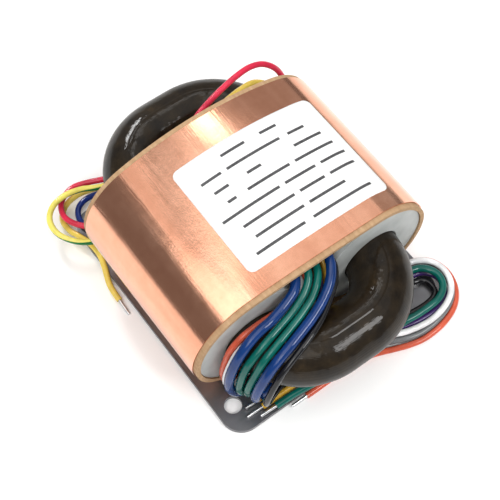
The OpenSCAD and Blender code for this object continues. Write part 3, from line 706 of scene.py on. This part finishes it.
def makeInkMaterial():
    s = paperLabel
    material, tree, shader = startMaterial("printInk", {"Roughness": s["inkRoughness"]})
    tone = ramp(tree, noise(tree, placed(tree), s["inkScale"]), s["inkTones"])
    tree.links.new(tone, shader.inputs["Base Color"])
    return material


def layLabel():
    s = paperLabel
    bm = cutSheet(s["middle"], s["size"], s["cuts"], s["corner"])
    layOnBand(bm, s["thickness"])
    bmesh.ops.solidify(bm, geom=bm.faces[:] + bm.edges[:] + bm.verts[:], thickness=s["thickness"])
    finishMesh(bm, "paperLabel", makeLabelMaterial(), "label")


def addBar(bm, middle, size):
    bar = cutSheet(middle, size, paperLabel["barCuts"])
    layOnBand(bar, paperLabel["thickness"] + paperLabel["barLift"])
    mesh = bpy.data.meshes.new("bar")
    bar.to_mesh(mesh)
    bar.free()
    bm.from_mesh(mesh)
    bpy.data.meshes.remove(mesh)


# plain bars in rows: where each starts and how long it is, as shares of the label's width
barRows = [
    [(0.30, 0.17), (0.58, 0.12)],
    [(0.10, 0.14), (0.28, 0.38), (0.72, 0.12)],
    [(0.13, 0.10), (0.36, 0.10), (0.70, 0.20)],
    [(0.16, 0.06), (0.30, 0.30), (0.64, 0.28)],
    [(0.06, 0.40), (0.50, 0.22), (0.76, 0.18)],
    [(0.14, 0.36), (0.54, 0.18), (0.76, 0.18)],
    [(0.16, 0.34), (0.54, 0.26)],
    [(0.10, 0.34), (0.50, 0.42)],
]


def layBars():
    s = paperLabel
    width, height = s["size"]
    bm = bmesh.new()
    for row, bars in enumerate(barRows):
        down = (row + s["topGap"]) / (len(barRows) + s["spareRows"])
        y = s["middle"][1] + height * (0.5 - down)
        for start, share in bars:
            x = s["middle"][0] + width * (start + share / 2 - 0.5)
            addBar(bm, (x, y), (width * share, height * s["barHeight"]))
    finishMesh(bm, "labelPrint", makeInkMaterial())


layLabel()
layBars()
print("label laid on the band")


# the CAD nodes that stay get their finishes here
coreFinish = {
    "specular": 0.07,
    "coat": 0.36,
    "coatRoughness": 0.03,
    "patchScale": 220.0,
    "tones": [
        (0.3, (0.007, 0.0046, 0.0027)),
        (0.6, (0.019, 0.0124, 0.006)),
        (0.85, (0.044, 0.028, 0.0125)),
    ],
    "roughness": (0.3, 0.6),
    "turnCentre": (0.004, 0.0255, 0.0),  # middle of the window's rounded corner
    "stripPitch": 0.00035,
    "stripNarrows": (0.0168, 0.0174),  # distance from that middle
    "stepHeight": 0.6,
    "turnHeight": 0.12,
    "cellScale": 340.0,
    "cellHeight": 0.5,
    "bump": (0.16, 0.0005),
    "runScale": 150.0,  # uneven dipped varnish
    "coatTurnHeight": 0.006,
    "coatBump": (0.4, 0.001),
}


def makeCoreMaterial():
    s = coreFinish
    material, tree, shader = startMaterial("coreVarnish", {
        "Specular IOR Level": s["specular"], "Coat Weight": s["coat"], "Coat Roughness": s["coatRoughness"],
    })
    where = addNode(tree, "ShaderNodeTexCoord").outputs["Object"]
    level = vectorMaths(tree, "MULTIPLY", where, (1, 1, 0))
    folded = vectorMaths(tree, "ABSOLUTE", level)
    inset = vectorMaths(tree, "SUBTRACT", folded, s["turnCentre"])
    corner = vectorMaths(tree, "MAXIMUM", inset)
    reach = vectorMaths(tree, "LENGTH", corner)
    turns = maths(tree, "SINE", maths(tree, "MULTIPLY", reach, 2 * math.pi / s["stripPitch"]))  # strip edges
    patches = noise(tree, placed(tree), s["patchScale"], detail=4.0, roughness=0.6)
    cells = addNode(tree, "ShaderNodeTexVoronoi", {"Vector": placed(tree), "Scale": s["cellScale"]})
    tree.links.new(ramp(tree, patches, s["tones"]), shader.inputs["Base Color"])
    tree.links.new(spread(tree, patches, *s["roughness"]), shader.inputs["Roughness"])
    height = maths(tree, "ADD", patches, maths(tree, "MULTIPLY", cells.outputs["Distance"], s["cellHeight"]))
    height = maths(tree, "ADD", maths(tree, "MULTIPLY", turns, s["turnHeight"]), height)
    bumpOn(tree, shader, height, *s["bump"])
    near, far = s["stripNarrows"]
    step = addNode(tree, "ShaderNodeMapRange", {
        "Value": reach, "From Min": near, "From Max": far, "To Min": s["stepHeight"], "To Max": 0.0,
    }, interpolation_type="SMOOTHSTEP").outputs["Result"]
    runs = noise(tree, placed(tree), s["runScale"])
    runs = maths(tree, "ADD", runs, maths(tree, "MULTIPLY", turns, s["coatTurnHeight"]))
    bumpOn(tree, shader, maths(tree, "ADD", runs, step), *s["coatBump"], socket="Coat Normal")
    return material


bobbinFinish = {
    "cloudScale": 180.0,
    "tones": [(0.3, (0.36, 0.38, 0.37)), (0.7, (0.48, 0.50, 0.49))],
    "roughness": (0.38, 0.55),
    "grainScale": 1400.0,
    "bump": (0.08, 0.0002),
}


def makeBobbinMaterial():
    s = bobbinFinish
    material, tree, shader = startMaterial("bobbinMoulding", {})
    cloud = noise(tree, placed(tree), s["cloudScale"])
    tree.links.new(ramp(tree, cloud, s["tones"]), shader.inputs["Base Color"])
    tree.links.new(spread(tree, cloud, *s["roughness"]), shader.inputs["Roughness"])
    bumpOn(tree, shader, noise(tree, placed(tree), s["grainScale"]), *s["bump"])
    return material


plateFinish = {
    "metallic": 0.85,
    "patchScale": 90.0,
    "tones": [(0.3, (0.125, 0.125, 0.135)), (0.7, (0.20, 0.20, 0.21))],
    "drawnScale": 1100.0,  # faint marks along the sheet
    "drawnStretch": (0.08, 1.0, 1.0),
    "roughness": (0.26, 0.46),
    "bump": (0.12, 0.0002),
}


def makePlateMaterial():
    s = plateFinish
    material, tree, shader = startMaterial("plateSteel", {"Metallic": s["metallic"]})
    drawn = noise(tree, placed(tree, s["drawnStretch"]), s["drawnScale"], detail=4.0)
    patches = noise(tree, placed(tree), s["patchScale"])
    tree.links.new(ramp(tree, patches, s["tones"]), shader.inputs["Base Color"])
    tree.links.new(spread(tree, drawn, *s["roughness"]), shader.inputs["Roughness"])
    bumpOn(tree, shader, drawn, *s["bump"])
    return material


tinnedFinish = {
    "lumpScale": 1200.0,
    "tones": [(0.3, (0.55, 0.56, 0.57)), (0.7, (0.78, 0.78, 0.79))],
    "roughness": 0.28,
    "bump": (0.4, 0.0003),
}


def makeTinnedMaterial():
    s = tinnedFinish
    material, tree, shader = startMaterial("tinnedStrands", {"Metallic": 1.0, "Roughness": s["roughness"]})
    lumps = noise(tree, placed(tree), s["lumpScale"])
    tree.links.new(ramp(tree, lumps, s["tones"]), shader.inputs["Base Color"])
    bumpOn(tree, shader, lumps, *s["bump"])
    return material


woundFinish = {
    "roughness": 0.4,
    "distortion": 0.6,
    "bump": (0.3, 0.0004),
    "kinds": {  # node's name: material, dark tone, light tone, metallic, wave scale
        "primary_winding": ("primaryWire", (0.20, 0.07, 0.03), (0.45, 0.18, 0.08), 0.6, 260.0),
        "secondary_winding": ("secondaryWire", (0.22, 0.08, 0.035), (0.48, 0.2, 0.09), 0.6, 180.0),
        "screen_foil": ("screenFoil", (0.62, 0.30, 0.17), (0.74, 0.38, 0.22), 1.0, 40.0),
        "layer_tape": ("layerTape", (0.55, 0.38, 0.08), (0.72, 0.52, 0.14), 0.0, 60.0),
        "outer_tape": ("outerTape", (0.50, 0.36, 0.12), (0.66, 0.50, 0.2), 0.0, 50.0),
        "splice_packing": ("splicePacking", (0.42, 0.33, 0.2), (0.6, 0.5, 0.33), 0.0, 420.0),
    },
}


def makeWoundMaterial(name, dark, light, metallic, scale):
    s = woundFinish
    material, tree, shader = startMaterial(name, {"Metallic": metallic, "Roughness": s["roughness"]})
    wave = addNode(tree, "ShaderNodeTexWave", {
        "Vector": placed(tree), "Scale": scale, "Distortion": s["distortion"],
    }, bands_direction="Y").outputs["Fac"]
    tree.links.new(ramp(tree, wave, [(0.2, dark), (0.8, light)]), shader.inputs["Base Color"])
    bumpOn(tree, shader, wave, *s["bump"])
    return material


nodeFinishes = {  # by the start of the node's name
    "core": makeCoreMaterial(),
    "bobbin": makeBobbinMaterial(),
    "base_plate": makePlateMaterial(),
    "tinned_ends": makeTinnedMaterial(),
    **{kind: makeWoundMaterial(*facts) for kind, facts in woundFinish["kinds"].items()},
}
for nodeName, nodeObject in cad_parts.items():
    for start, finish in nodeFinishes.items():
        if nodeName.startswith(start):
            nodeObject.data.materials.clear()
            nodeObject.data.materials.append(finish)
print("solids finished")


# pale floor and soft studio light
warmWhite = (1.0, 0.99, 0.97)
plainWhite = (1.0, 1.0, 1.0)
middlePoint = (0.0, 0.0, 0.02)
studio = {
    "floorColour": (0.96, 0.96, 0.96),
    "floorRoughness": 0.8,
    "floorSize": 3.0,
    "worldStrength": 0.24,
    "lights": [  # name, place, aim, size, watts, colour
        ("overhead", (-0.15, -0.14, 1.0), (-0.15, -0.14, 0.0), (2.1, 1.24), 4.1, warmWhite),
        ("overheadKey", (-0.445, -0.148, 0.99), (-0.443, -0.138, 0.0), (0.94, 1.2), 5.3, warmWhite),
        ("overheadFill", (0.27, -0.14, 0.99), (0.27, -0.14, 0.0), (0.4, 1.2), 0.5, warmWhite),
        ("rearGlint", (0.34, 0.48, 0.98), (0.34, 0.48, 0.0), (0.18, 0.14), 0.33, warmWhite),
        ("leftGlint", (-0.29, 0.54, 0.98), (-0.29, 0.54, 0.0), (0.27, 0.16), 0.11, warmWhite),
        ("rightPanel", (0.85, 0.55, 0.75), middlePoint, (0.8, 1.2), 0.6, warmWhite),
        ("rearStrip", (0.11, 0.8, 0.68), middlePoint, (0.1, 0.32), 3.4, plainWhite),
        ("frontBox", (0.34, -0.7, 0.84), middlePoint, (0.4, 0.32), 5.2, plainWhite),
        ("leftFill", (-0.75, -0.5, 0.85), middlePoint, (0.7, 0.6), 3.4, plainWhite),
    ],
}


def makeFloor(settings):
    bm = bmesh.new()
    bmesh.ops.create_grid(bm, x_segments=1, y_segments=1, size=settings["floorSize"])
    mesh = bpy.data.meshes.new("floor")
    bm.to_mesh(mesh)
    bm.free()
    paint = startMaterial("floorPaint", {
        "Base Color": (*settings["floorColour"], 1), "Roughness": settings["floorRoughness"],
    })[0]
    mesh.materials.append(paint)
    floor = bpy.data.objects.new("floor", mesh)
    bpy.context.collection.objects.link(floor)


def makeWorld(settings):
    world = bpy.data.worlds.new("studioWorld")
    world.use_nodes = True
    background = world.node_tree.nodes["Background"]
    background.inputs["Color"].default_value = (*plainWhite, 1)
    background.inputs["Strength"].default_value = settings["worldStrength"]
    bpy.context.scene.world = world
    bpy.context.scene.view_settings.view_transform = "Standard"  # keeps the wire colours deep


def makeLights(settings):
    for name, place, aim, size, watts, colour in settings["lights"]:
        data = bpy.data.lights.new(name, "AREA")
        data.shape = "RECTANGLE"
        data.size, data.size_y = size
        data.energy = watts
        data.color = colour
        lamp = bpy.data.objects.new(name, data)
        lamp.location = place
        lamp.rotation_mode = "QUATERNION"
        lamp.rotation_quaternion = (Vector(aim) - Vector(place)).to_track_quat("-Z", "Y")
        bpy.context.collection.objects.link(lamp)


makeFloor(studio)
makeWorld(studio)
makeLights(studio)
print("studio lit")
